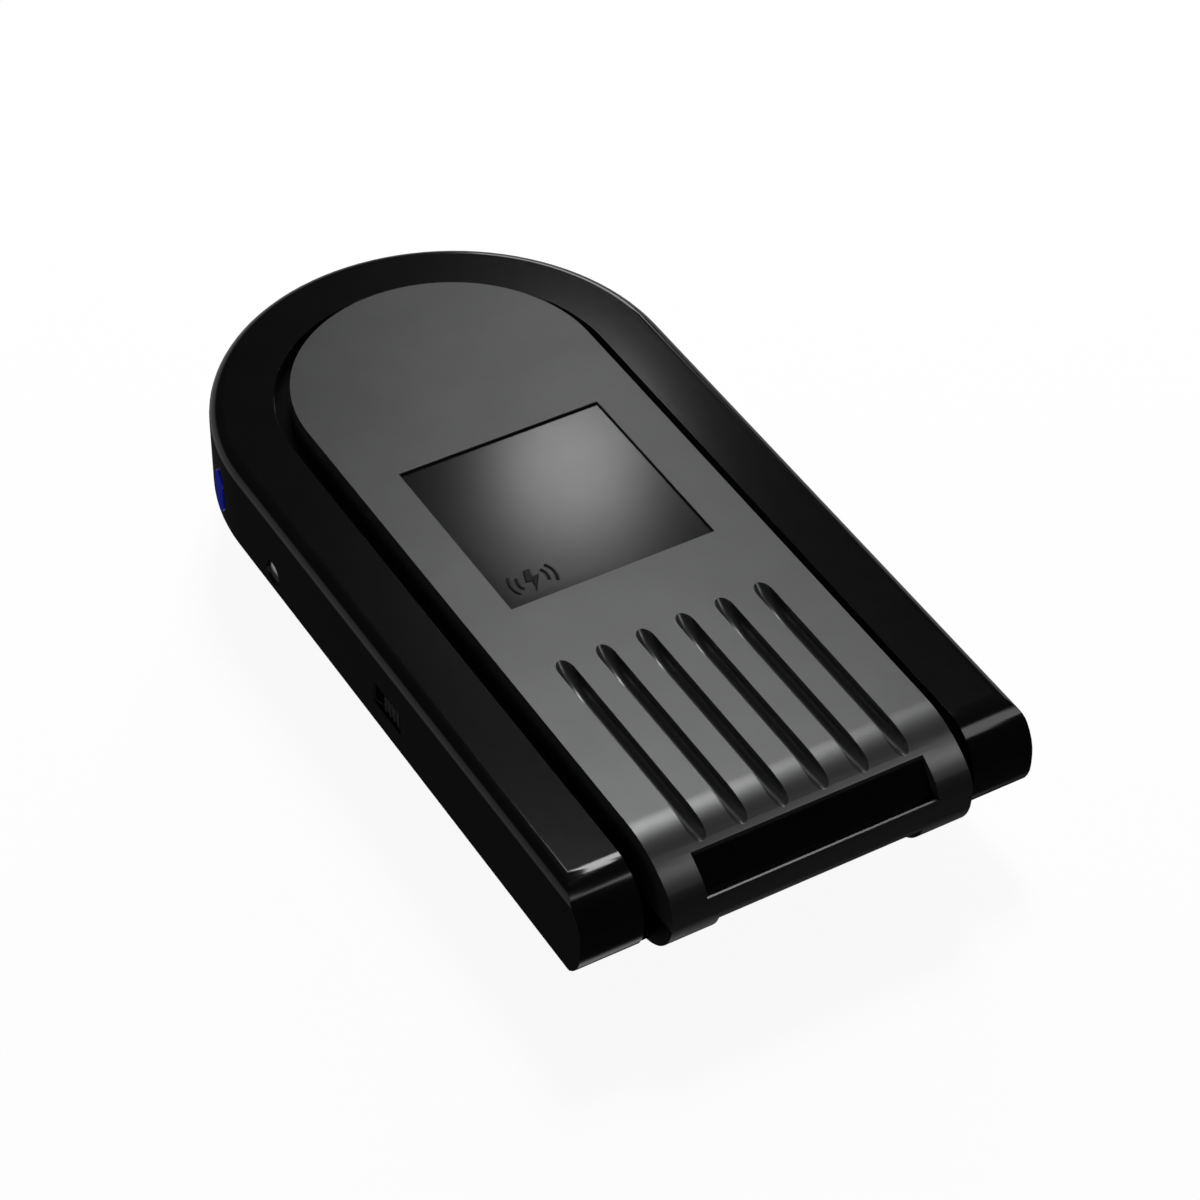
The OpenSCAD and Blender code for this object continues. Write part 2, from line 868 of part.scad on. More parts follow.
module battery_door() {
    slot_w = 1.8;
    slot_half_l = 6;
    slot_d = 0.9;
    lug_r = door_r - 2 * slack;
    color("#161618")
        door_spot()
            difference() {
                union() {
                    translate([0, 0, base_z])
                        cylinder(r = door_r, h = door_flange_t - slack);
                    translate([0, 0, base_z])
                        cylinder(r = door_hub_r, h = door_hub_top - base_z);
                    for (i = [0 : lug_n - 1])
                        rotate([0, 0, i * 360 / lug_n])
                            intersection() {
                                span([0, -lug_w / 2, lug_z], [case_r, lug_w / 2, lug_z + lug_t]);
                                cylinder(r = lug_r, h = top_z);
                            }
                }
                span([-slot_half_l, -slot_w / 2, base_z - cut],
                    [slot_half_l, slot_w / 2, base_z + slot_d]);
                for (side = [-1, 1])
                    translate([side * slot_half_l, 0, base_z - cut])
                        cylinder(r = slot_w / 2, h = slot_d + cut);
            }
}

module coin_cell() {
    edge = 0.5;
    cap_step = 1.2;
    cap_slope = 0.2;
    color("#c4c6c9")
        door_spot()
            translate([0, 0, cell_z])
                rotate_extrude()
                    polygon([[0, 0], [cell_r - edge, 0], [cell_r, edge],
                        [cell_r, cell_t - cell_cap_t], [cell_r - cap_step, cell_t - cell_cap_t],
                        [cell_r - cap_step - cap_slope, cell_t], [0, cell_t]]);
}

module cell_holder() {
    window_half = clip_half_w + 0.4;
    window_low = holder_z + 0.6;
    window_high = board_top + 0.7;
    roof_hole_r = 3;
    ear_root = 1;
    window_depth = 2;
    color("#e4e1d6")
        door_spot()
            difference() {
                union() {
                    translate([0, 0, holder_z])
                        cylinder(r = holder_r, h = holder_top - holder_z);
                    for (a = ear_turns)
                        rotate([0, 0, a])
                            span([holder_r - ear_root, -ear_w / 2, board_top],
                                [ear_l, ear_w / 2, board_top + ear_t]);
                }
                translate([0, 0, holder_z - cut])
                    cylinder(r = cell_r + 2 * slack, h = holder_roof_z - holder_z + cut);
                cylinder(r = roof_hole_r, h = top_z);
                span([-window_half, -holder_r - cut, window_low],
                    [window_half, window_depth - cell_r, window_high]);
            }
}

module cell_spring() {
    disc_r = 6;
    bump_r = 1.6;
    bump_t = 0.1;
    color("#c8b06a")
        door_spot() {
            translate([0, 0, cell_top + bump_t])
                cylinder(r = disc_r, h = holder_roof_z - cell_top - bump_t);
            translate([0, 0, cell_top])
                cylinder(r = bump_r, h = bump_t);
        }
}

module cell_clip() {
    foot_z = holder_z + 0.8;
    tongue_half = clip_half_w - 1;
    tongue_l = 2.5;
    color("#c8b06a")
        door_spot() {
            span([-clip_half_w, -clip_y - clip_t, foot_z],
                [clip_half_w, -clip_y, board_top + clip_t]);
            span([-tongue_half, -board_hole_r - tongue_l, board_top],
                [tongue_half, -clip_y, board_top + clip_t]);
        }
}

module main_board() {
    boss_hole_r = 2.8;
    socket_gap = 0.2;
    color("#1d5a3a")
        difference() {
            arch(board_r, board_z, board_top, board_y0);
            door_spot()
                cylinder(r = board_hole_r, h = top_z);
            at_pairs(case_screw_spots)
                cylinder(r = boss_hole_r, h = top_z);
            at_pairs(board_screw_spots)
                cylinder(r = small_screw_r + slack, h = top_z);
            span([socket_body_x - socket_body_l - socket_gap,
                socket_y - socket_half_w - socket_gap / 2, 0],
                [case_r, socket_y + socket_half_w + socket_gap / 2, top_z]);
        }
}

module controller_chip() {
    chip_w = 7;
    chip_t = 1.1;
    stand_off = 0.1;
    lead_n = 8;
    lead_pitch = 0.8;
    lead_w = 0.4;
    lead_l = 1.1;
    lead_t = 0.3;
    chip_y = arc_y - 28.5;
    color("#222326") {
        translate([-chip_w / 2, chip_y - chip_w / 2, board_top + stand_off])
            cube([chip_w, chip_w, chip_t]);
        for (turn = [0 : 90 : 270], i = [0 : lead_n - 1])
            translate([0, chip_y, board_top])
                rotate([0, 0, turn])
                    translate([(i - (lead_n - 1) / 2) * lead_pitch - lead_w / 2,
                        chip_w / 2 - stand_off, 0])
                        cube([lead_w, lead_l, lead_t]);
    }
}

module board_parts() {
    rows = 5;
    row_pitch = 2.6;
    first_y = arc_y - 22;
    near_x = 7.5;
    stagger = 1.9;
    part_w = 1.2;
    part_l = 0.72;
    part_t = 0.7;
    crystal_y = arc_y - 41.5;
    color("#8a6b45") {
        for (i = [0 : rows - 1], side = [-1, 1])
            translate([side * (near_x + stagger * (i % 2)) - part_w / 2,
                first_y - row_pitch * i, board_top])
                cube([part_w, part_l, part_t]);
        translate([-3, crystal_y, board_top])
            cube([6, 3, 1.6]);
    }
}

module storage_capacitors() {
    can_r = 2.4;
    can_l = 11;
    can_x = -9;
    can_y = front_y + 22;
    can_pitch = 5.4;
    crimp_w = 0.5;
    crimp_d = 0.2;
    color("#2a3350")
        for (i = [0, 1])
            translate([can_x, can_y + i * can_pitch, board_top + can_r + slack])
                rotate([0, 90, 0])
                    difference() {
                        cylinder(r = can_r, h = can_l);
                        translate([0, 0, 2 * crimp_w])
                            difference() {
                                cylinder(r = can_r + cut, h = crimp_w);
                                cylinder(r = can_r - crimp_d, h = crimp_w);
                            }
                    }
}

module driver_coil() {
    coil_x = 8;
    coil_y = front_y + 24.6;
    coil_r = 3.4;
    coil_h = 4.2;
    flange_t = 0.7;
    winding_r = 2.5;
    color("#6b4327")
        translate([coil_x, coil_y, board_top])
            rotate_extrude()
                polygon([[0, 0], [coil_r, 0], [coil_r, flange_t], [winding_r, flange_t],
                    [winding_r, coil_h - flange_t], [coil_r, coil_h - flange_t],
                    [coil_r, coil_h], [0, coil_h]]);
}

module at_emitters() {
    for (i = [0 : emitter_n - 1])
        translate([(i - (emitter_n - 1) / 2) * emitter_pitch, emitter_tip_y, emitter_z])
            children();
}

module emitter_board() {
    half = 14.8;
    low_z = floor_z + 0.6;
    color("#1d5a3a")
        span([-half, emitter_board_y, low_z],
            [half, emitter_board_y + emitter_board_t, emitter_room_z]);
}

module ir_emitters() {
    flange_rim = 0.4;
    color("#20222c")
        at_emitters()
            rotate([-90, 0, 0]) {
                intersection() {
                    translate([0, 0, emitter_r])
                        sphere(r = emitter_r);
                    cylinder(r = emitter_r + cut, h = emitter_r);
                }
                translate([0, 0, emitter_r])
                    cylinder(r = emitter_r, h = emitter_body_l);
                translate([0, 0, emitter_r + emitter_body_l - emitter_flange_t])
                    cylinder(r = emitter_r + flange_rim, h = emitter_flange_t);
            }
}

module emitter_holder() {
    half = 15.2;
    low_z = floor_z + 0.3;
    color("#d9d9d6")
        difference() {
            span([-half, holder_plate_y, low_z],
                [half, holder_plate_y + holder_plate_t, emitter_room_z]);
            at_emitters()
                rotate([-90, 0, 0])
                    cylinder(r = emitter_r + slack, h = front_room_y - front_y);
        }
}

module emitter_ribbon() {
    half = 4;
    ribbon_t = 0.3;
    ribbon_z = board_top + 1.5;
    far_y = board_y0 + 2.5;
    color("#c98a3a") {
        span([-half, emitter_board_y + emitter_board_t, ribbon_z],
            [half, far_y, ribbon_z + ribbon_t]);
        span([-half, far_y - ribbon_t, board_top], [half, far_y, ribbon_z]);
    }
}

module status_led() {
    led_l = 2.8;
    led_w = 3.2;
    led_h = 1.7;
    edge_gap = 0.1;
    color("#e9eef2")
        status_spot()
            translate([board_r - led_l - edge_gap, -led_w / 2, board_top - lens_z])
                cube([led_l, led_w, led_h]);
}

module status_lens() {
    flange_x = inner_r - 0.12;
    flange_t = 0.7;
    flange_rim = 0.25;
    proud = 0.12;
    color("#1c3cff")
        intersection() {
            status_spot() {
                oval(flange_x - slack, case_r + cut, lens_r, lens_half);
                oval(flange_x - flange_t, flange_x, lens_r + flange_rim, lens_half);
            }
            translate([0, arc_y, 0])
                cylinder(r = case_r + proud, h = top_z);
        }
}

module test_button() {
    dome_r = (pow(button_r, 2) + pow(button_dome, 2)) / (2 * button_dome);
    dome_turn = asin(button_r / dome_r);
    dome_steps = 5;
    flange_back = wall + button_flange_t;
    stem_end = flange_back + 0.4;
    color("#b9bcc0")
        in_wall(-case_r + slack, button_y, button_z)
            rotate_extrude()
                polygon(concat(
                    [for (i = [0 : dome_steps]) let (a = dome_turn * i / dome_steps)
                        [dome_r * sin(a), dome_r * (1 - cos(a))]],
                    [[button_r, wall], [button_flange_r, wall],
                    [button_flange_r, flange_back], [button_stem_r, flange_back],
                    [button_stem_r, stem_end], [0, stem_end]]));
}

module test_switch() {
    color("#2c2d30")
        span([switch_face_x, button_y - test_switch_half, board_z - switch_h],
            [switch_face_x + switch_depth, button_y + test_switch_half, board_z]);
}

module power_slider() {
    rest_y = slider_y - knob_shift;
    face_x = -inner_r + slack;
    knob_x = -case_r + 0.12;
    knob_half_h = slot_half_h - 2 * slack;
    carrier_low = 3;
    carrier_high = 2;
    rib_n = 3;
    rib_pitch = 0.9;
    rib_r = 0.25;
    color("#55575b")
        difference() {
            union() {
                span([face_x, rest_y - carrier_half, slider_z - carrier_low],
                    [face_x + carrier_t, rest_y + carrier_half, slider_z + carrier_high]);
                span([knob_x, rest_y - knob_half, slider_z - knob_half_h],
                    [face_x, rest_y + knob_half, slider_z + knob_half_h]);
            }
            for (i = [0 : rib_n - 1])
                translate([knob_x, rest_y + (i - (rib_n - 1) / 2) * rib_pitch, slider_z])
                    cylinder(r = rib_r, h = 2 * slot_half_h, center = true);
        }
}

module switch_lever() {
    rest_y = slider_y - knob_shift;
    reach = 1.2;
    color("#c8c9cb")
        span([-inner_r + slack + carrier_t, rest_y - lever_half, lever_low_z],
            [switch_face_x + reach, rest_y + lever_half, lever_high_z]);
}

module slide_switch() {
    half = 4.3;
    lever_room = 0.2;
    window_half = knob_shift + lever_half + lever_room;
    window_depth = 1.6;
    color("#7d8083")
        difference() {
            span([switch_face_x, slider_y - half, board_z - switch_h],
                [switch_face_x + switch_depth, slider_y + half, board_z]);
            span([switch_face_x - cut, slider_y - window_half, lever_low_z - lever_room],
                [switch_face_x + window_depth, slider_y + window_half,
                lever_high_z + lever_room]);
        }
}

module sync_socket() {
    chamber_r = 2.1;
    color("#1b1b1d")
        difference() {
            union() {
                span([socket_body_x - socket_body_l, socket_y - socket_half_w,
                    socket_z - socket_half_h],
                    [socket_body_x, socket_y + socket_half_w, socket_z + socket_half_h]);
                in_wall(socket_body_x - slack, socket_y, socket_z)
                    cylinder(r = socket_r, h = case_r - socket_body_x + slack);
            }
            in_wall(socket_bore_x, socket_y, socket_z)
                cylinder(r = jack_bore_r, h = jack_bore_l + cut);
            in_wall(socket_bore_x - socket_chamber_l, socket_y, socket_z)
                cylinder(r = chamber_r, h = socket_chamber_l);
        }
}

module socket_contacts() {
    tip_r = 1.2;
    tip_t = 0.6;
    tab_n = 3;
    tab_pitch = 4;
    tab_x = 14.4;
    tab_w = 1.2;
    tab_l = 1.6;
    tab_t = 0.3;
    color("#c8b06a") {
        in_wall(socket_bore_x - socket_chamber_l, socket_y, socket_z)
            cylinder(r = tip_r, h = tip_t);
        for (i = [0 : tab_n - 1], side = [0, 1])
            translate([tab_x + i * tab_pitch,
                socket_y - socket_half_w - tab_l + side * (2 * socket_half_w + tab_l), board_top])
                cube([tab_w, tab_l, tab_t]);
    }
}

module shoe_lead() {
    lead_r = 0.5;
    color("#a8322c")
        foot_spot()
            translate([0, 0, tail_top])
                cylinder(r = lead_r, h = board_z - tail_top);
}

upper_shell();
base_shell();
centre_cover();
label_plate();
ir_window();
case_screws();
cover_screws();
foot_plate();
foot_column();
foot_screws();
clamp_washer();
lock_wheel();
pin_insulator();
contact_pin();
pin_spring();
pin_terminal();
battery_door();
coin_cell();
cell_holder();
cell_spring();
cell_clip();
main_board();
board_screws();
controller_chip();
board_parts();
storage_capacitors();
driver_coil();
emitter_board();
ir_emitters();
emitter_holder();
emitter_ribbon();
status_led();
status_lens();
test_button();
test_switch();
power_slider();
switch_lever();
slide_switch();
sync_socket();
socket_contacts();
shoe_lead();
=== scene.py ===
"""Looks for the wireless flash trigger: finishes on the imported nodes, a floor, studio light and a camera."""

import json
import math

import bmesh
import bpy
from mathutils import Matrix, Vector

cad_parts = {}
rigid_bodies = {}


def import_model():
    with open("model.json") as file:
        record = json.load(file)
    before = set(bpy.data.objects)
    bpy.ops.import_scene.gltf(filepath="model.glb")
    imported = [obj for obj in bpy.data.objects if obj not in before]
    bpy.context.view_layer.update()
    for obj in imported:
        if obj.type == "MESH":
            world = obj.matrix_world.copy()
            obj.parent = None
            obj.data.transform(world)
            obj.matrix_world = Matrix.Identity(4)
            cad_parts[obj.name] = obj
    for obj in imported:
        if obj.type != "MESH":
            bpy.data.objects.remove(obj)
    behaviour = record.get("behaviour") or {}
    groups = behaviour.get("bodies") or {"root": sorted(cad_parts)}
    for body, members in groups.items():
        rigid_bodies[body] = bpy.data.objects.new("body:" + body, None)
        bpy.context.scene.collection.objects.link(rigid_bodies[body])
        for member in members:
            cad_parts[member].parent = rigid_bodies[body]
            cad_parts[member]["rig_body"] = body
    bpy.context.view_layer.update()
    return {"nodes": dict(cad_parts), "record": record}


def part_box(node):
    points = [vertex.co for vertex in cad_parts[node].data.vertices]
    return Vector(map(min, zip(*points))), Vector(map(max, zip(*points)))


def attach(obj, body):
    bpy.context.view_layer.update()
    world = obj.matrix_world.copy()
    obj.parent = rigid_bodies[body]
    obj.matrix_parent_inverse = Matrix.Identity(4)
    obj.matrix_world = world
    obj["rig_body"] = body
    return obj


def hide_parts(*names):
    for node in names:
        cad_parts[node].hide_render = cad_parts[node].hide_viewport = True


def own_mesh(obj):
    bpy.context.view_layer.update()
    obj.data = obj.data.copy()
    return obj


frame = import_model()
nodes = frame["nodes"]
MM = 0.001


# ---------------------------------------------------------------- node helpers
NOISE_LOW, NOISE_HIGH = 0.3, 0.7  # most values of a noise pattern lie between these


class Finish:
    """A material's node tree with a Principled shader, and short calls that add patterns to it."""

    def __init__(self, name):
        self.mat = bpy.data.materials.new(name)
        self.mat.use_nodes = True
        self.tree = self.mat.node_tree
        self.tree.nodes.clear()
        self.out = self.add("ShaderNodeOutputMaterial")
        self.bsdf = self.add("ShaderNodeBsdfPrincipled")
        self.link(self.bsdf.outputs["BSDF"], self.out.inputs["Surface"])
        self.coord = self.add("ShaderNodeTexCoord").outputs["Object"]

    def add(self, kind, **settings):
        node = self.tree.nodes.new(kind)
        for key, value in settings.items():
            setattr(node, key, value)
        return node

    def link(self, a, b):
        self.tree.links.new(a, b)

    def set(self, **values):
        for key, value in values.items():
            self.bsdf.inputs[key.replace("_", " ")].default_value = value

    def stretched(self, scale):
        """Coordinates that draw a pattern out along the axis with the smallest scale."""
        node = self.add("ShaderNodeMapping")
        node.inputs["Scale"].default_value = scale
        self.link(self.coord, node.inputs["Vector"])
        return node.outputs["Vector"]

    def noise(self, size_mm, detail, rough, vector=None, distortion=0.0):
        """Noise whose features are about size_mm across."""
        node = self.add("ShaderNodeTexNoise")
        node.inputs["Scale"].default_value = 1 / (size_mm * MM)
        node.inputs["Detail"].default_value = detail
        node.inputs["Roughness"].default_value = rough
        node.inputs["Distortion"].default_value = distortion
        self.link(vector or self.coord, node.inputs["Vector"])
        return node.outputs["Fac"]

    def cell_borders(self, size_mm):
        """Distance from the borders between irregular cells about size_mm across."""
        node = self.add("ShaderNodeTexVoronoi", feature="DISTANCE_TO_EDGE")
        node.inputs["Scale"].default_value = 1 / (size_mm * MM)
        self.link(self.coord, node.inputs["Vector"])
        return node.outputs["Distance"]

    def height(self):
        """The object's own Z, in metres."""
        node = self.add("ShaderNodeSeparateXYZ")
        self.link(self.coord, node.inputs["Vector"])
        return node.outputs["Z"]

    def span(self, value, low, high, start=NOISE_LOW, end=NOISE_HIGH):
        """Runs from low to high as the value runs from start to end."""
        node = self.add("ShaderNodeMapRange")
        for key, number in (("From Min", start), ("From Max", end), ("To Min", low), ("To Max", high)):
            node.inputs[key].default_value = number
        self.link(value, node.inputs["Value"])
        return node.outputs["Result"]

    def math(self, kind, a, b):
        node = self.add("ShaderNodeMath", operation=kind)
        for socket, value in zip(node.inputs, (a, b)):
            if isinstance(value, (int, float)):
                socket.default_value = value
            else:
                self.link(value, socket)
        return node.outputs["Value"]

    def mix(self, fac, a, b):
        node = self.add("ShaderNodeMix", data_type="RGBA")
        self.link(fac, node.inputs["Factor"])
        for socket, value in ((node.inputs["A"], a), (node.inputs["B"], b)):
            if isinstance(value, tuple):
                socket.default_value = (*value, 1)
            else:
                self.link(value, socket)
        return node.outputs["Result"]

    def drift(self, colour, vary):
        """The colour, which drifts by the share vary either way over several millimetres."""
        patches = self.noise(9, 3, 0.6)
        return self.mix(self.span(patches, 0, 1), shade(colour, 1 - vary), shade(colour, 1 + vary))

    def marks(self, rough, spread):
        """The roughness, which small handling marks move by up to spread either way."""
        marks = self.noise(2.2, 5, 0.65, distortion=0.4)
        return self.span(marks, rough - spread, rough + spread)

    def colour(self, socket):
        self.link(socket, self.bsdf.inputs["Base Color"])

    def roughness(self, socket):
        self.link(socket, self.bsdf.inputs["Roughness"])

    def bump(self, height, depth_mm):
        node = self.add("ShaderNodeBump")
        node.inputs["Strength"].default_value = 1
        node.inputs["Distance"].default_value = depth_mm * MM
        self.link(height, node.inputs["Height"])
        self.link(node.outputs["Normal"], self.bsdf.inputs["Normal"])


def shade(colour, factor):
    return tuple(channel * factor for channel in colour)


# ---------------------------------------------------------------- finishes
def moulded(name, colour, rough, spread, grain_mm, depth_mm, vary=0.15, **values):
    """Moulded or painted plastic: fine grain, handling marks in the gloss and a slight drift of colour."""
    f = Finish(name)
    f.set(**values)
    f.colour(f.drift(colour, vary))
    f.roughness(f.marks(rough, spread))
    f.bump(f.noise(grain_mm, 2, 0.5), depth_mm)
    return f.mat


def metal(name, colour, rough, brush=(1, 1, 1), grain_mm=0.5, depth_mm=0.001):
    """Plated, turned or stamped metal, its grain drawn out along the axis of the smallest brush scale."""
    f = Finish(name)
    f.set(Metallic=1.0)
    lines = f.noise(grain_mm, 3, 0.6, f.stretched(brush))
    stain = f.noise(3.5, 4, 0.6)
    f.colour(f.mix(f.span(stain, 0, 1, start=0.35), colour, shade(colour, 0.88)))
    f.roughness(f.span(lines, rough - 0.08, rough + 0.1))
    f.bump(lines, depth_mm)
    return f.mat


def satin_paint(name, dark, light, rough, spread):
    """Satin metallic paint with a fine eggshell grain and faint handling scuffs."""
    f = Finish(name)
    f.set(Metallic=0.6, Specular_IOR_Level=0.5)
    patches = f.noise(14, 3, 0.6)
    f.colour(f.mix(f.span(patches, 0, 1), dark, light))
    scuffs = f.noise(1.6, 6, 0.7, distortion=0.6)
    f.roughness(f.span(scuffs, rough - spread, rough + spread))
    eggshell = f.noise(0.22, 2, 0.55)
    f.bump(eggshell, 0.0012)
    return f.mat


def label_with_painted_shade_mark(name, colour, rough, spread, mark_z):
    """Gloss plate with faint handling marks; what stands above mark_z is the matt raised mark, coloured darker
    as painted shade.
    """
    f = Finish(name)
    edge = 0.01 * MM
    raised = f.span(f.height(), 0, 1, mark_z - edge, mark_z + edge)
    # Painted shade: the raised mark is coloured near black in place of the shading its edges would catch.
    f.colour(f.mix(raised, f.drift(colour, 0.08), shade(colour, 0.1)))
    matt = f.math("MULTIPLY", raised, 0.55)
    f.roughness(f.math("ADD", f.marks(rough, spread), matt))
    f.bump(f.noise(0.4, 2, 0.5), 0.0001)
    return f.mat


def circuit_board(name):
    """Green solder mask over copper tracks, with the tracks slightly raised."""
    f = Finish(name)
    f.set(Specular_IOR_Level=0.5)
    track = f.span(f.cell_borders(1.7), 1, 0, start=0.05, end=0.09)
    weave = f.noise(0.35, 2, 0.5)
    mask = f.mix(f.span(weave, 0, 1, start=0.35, end=0.65), (0.006, 0.075, 0.03), (0.008, 0.095, 0.04))
    f.colour(f.mix(track, mask, (0.02, 0.16, 0.06)))
    f.roughness(f.span(weave, 0.28, 0.4))
    f.bump(track, 0.02)
    return f.mat


def tinted_clear(name, colour, rough, glow_colour=None, glow=0):
    """Tinted moulded lens: mostly opaque to the eye, with swirl marks in its gloss."""
    f = Finish(name)
    f.set(Specular_IOR_Level=0.6)
    swirl = f.noise(2.5, 3, 0.5, distortion=1.2)
    f.colour(f.mix(f.span(swirl, 0, 1), colour, shade(colour, 1.3)))
    f.roughness(f.span(swirl, rough, rough + 0.05))
    f.bump(f.noise(3.0, 2, 0.4), 0.001)
    if glow_colour:
        f.set(Emission_Color=(*glow_colour, 1), Emission_Strength=glow)
    return f.mat


# The raised mark starts this far below the label's highest point
MARK_HEIGHT = 0.07 * MM
label_mark_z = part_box("label_plate")[1][2] - MARK_HEIGHT

# moulded: colour, roughness, its spread, grain size and depth in mm
# metal: colour, roughness, brush scale, grain size and depth in mm
MATERIALS = {
    "gloss_black": moulded(
        "gloss_black", (0.010, 0.010, 0.0108), 0.12, 0.005, 0.5, 0.0001, Specular_IOR_Level=0.5
    ),
    "case_black": moulded(
        "case_black", (0.006, 0.006, 0.0065), 0.34, 0.05, 0.14, 0.002, Specular_IOR_Level=0.35
    ),
    "satin_grey": satin_paint("satin_grey", (0.130, 0.1315, 0.132), (0.150, 0.1515, 0.152), 0.3, 0.006),
    "label_gloss": label_with_painted_shade_mark("label_gloss", (0.009, 0.009, 0.0094), 0.13, 0.003, label_mark_z),
    "ir_filter": tinted_clear("ir_filter", (0.006, 0.0007, 0.0009), 0.05),
    "black_screw": metal("black_screw", (0.035, 0.035, 0.038), 0.42, grain_mm=0.3),
    "steel": metal("steel", (0.56, 0.57, 0.59), 0.3, grain_mm=0.35),
    "foot_metal": metal("foot_metal", (0.5, 0.5, 0.52), 0.32, (1, 0.08, 1), 0.35, 0.0015),
    "wheel_black": moulded("wheel_black", (0.014, 0.014, 0.015), 0.42, 0.06, 0.2, 0.003),
    "inner_black": moulded("inner_black", (0.018, 0.018, 0.018), 0.4, 0.06, 0.2, 0.003),
    "inner_white": moulded("inner_white", (0.72, 0.72, 0.69), 0.42, 0.05, 0.25, 0.002, vary=0.05),
    "inner_cream": moulded("inner_cream", (0.66, 0.62, 0.52), 0.45, 0.05, 0.25, 0.002, vary=0.06),
    "contact_brass": metal("contact_brass", (0.78, 0.56, 0.24), 0.26, (1, 0.2, 1), 0.3),
    "cell_steel": metal("cell_steel", (0.66, 0.66, 0.67), 0.24, (0.06, 1, 1), 0.25, 0.0015),
    "board_green": circuit_board("board_green"),
    "board_parts": moulded("board_parts", (0.26, 0.17, 0.1), 0.38, 0.05, 0.15, 0.002, vary=0.3),
    "capacitor_sleeve": moulded("capacitor_sleeve", (0.02, 0.035, 0.1), 0.24, 0.04, 0.6, 0.002),
    "coil_copper": metal("coil_copper", (0.6, 0.22, 0.08), 0.3, (1, 1, 6), 0.5, 0.03),
    "emitter_smoke": tinted_clear("emitter_smoke", (0.012, 0.012, 0.03), 0.06),
    "ribbon_amber": moulded("ribbon_amber", (0.45, 0.2, 0.04), 0.2, 0.03, 0.6, 0.001),
    "led_white": moulded("led_white", (0.8, 0.81, 0.82), 0.3, 0.04, 0.3, 0.001, vary=0.04),
    "lens_blue": tinted_clear("lens_blue", (0.003, 0.004, 0.03), 0.08, (0.005, 0.02, 1.0), 0.12),
    "button_metal": metal("button_metal", (0.7, 0.71, 0.73), 0.16, grain_mm=0.2, depth_mm=0.0004),
    "slider_grey": moulded("slider_grey", (0.03, 0.03, 0.032), 0.42, 0.05, 0.18, 0.003),
    "lead_red": moulded("lead_red", (0.36, 0.025, 0.018), 0.36, 0.05, 0.3, 0.002),
}


# ---------------------------------------------------------------- pieces with rounded edges
# Edge radius in mm of each piece that is rebuilt from its CAD node as a clean, bevelled mesh
EDGE_MM = {
    "upper_shell": 0.2,
    "centre_cover": 0.22,
    "base_shell": 0.2,
    "label_plate": 0.1,
    "ir_window": 0.08,
    "status_lens": 0.1,
    "test_button": 0.08,
    "power_slider": 0.12,
    "sync_socket": 0.15,
    "battery_door": 0.15,
    "foot_plate": 0.2,
    "foot_column": 0.1,
    "clamp_washer": 0.12,
    "lock_wheel": 0.12,
    "case_screws": 0.06,
    "pin_spring": 0.05,
}
EDGE_STEPS = 3
EDGE_ANGLE = math.radians(26)  # a sharper edge than this is rounded
FLAT_ANGLE = math.radians(0.2)  # faces within this of each other become one
WELD = 0.002 * MM
LARGE_FACE_WEIGHT = 80  # how far a large face's own normal outweighs its neighbours' in the shading


def refine(name, radius_mm):
    """A clean mesh of the CAD node, with its real edges rounded, that stands in for the node."""
    source = nodes[name]
    mesh = bmesh.new()
    mesh.from_mesh(source.data)
    bmesh.ops.remove_doubles(mesh, verts=mesh.verts, dist=WELD)
    bmesh.ops.dissolve_limit(
        mesh, angle_limit=FLAT_ANGLE, verts=mesh.verts, edges=mesh.edges, delimit=set()
    )
    data = bpy.data.meshes.new(name + "_fine")
    mesh.to_mesh(data)
    mesh.free()
    data.shade_smooth()
    piece = bpy.data.objects.new(name + "_fine", data)
    bpy.context.scene.collection.objects.link(piece)
    edge = piece.modifiers.new("edge", "BEVEL")
    edge.width = radius_mm * MM
    edge.segments = EDGE_STEPS
    edge.limit_method = "ANGLE"
    edge.angle_limit = EDGE_ANGLE
    edge.use_clamp_overlap = True
    even = piece.modifiers.new("even", "WEIGHTED_NORMAL")
    even.mode = "FACE_AREA"
    even.weight = LARGE_FACE_WEIGHT
    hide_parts(name)
    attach(piece, source["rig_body"])
    return piece


def compress(piece):
    """Gives the spring its own copy of its mesh."""
    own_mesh(piece)


for entry in frame["record"]["subparts"]:
    name, slot = entry["node"], entry["material_slot"]
    if name in EDGE_MM:
        part = refine(name, EDGE_MM[name])
    else:
        part = nodes[name]
        part.data.materials.clear()
    part.data.materials.append(MATERIALS[slot])
    if name == "pin_spring":
        compress(part)


# ---------------------------------------------------------------- floor
FLOOR_SIZE = 6
FLOOR_GLOW = 0.93
FLOOR_GREY = 0.25  # what the floor reflects on top of its own glow, which is what a shadow takes away


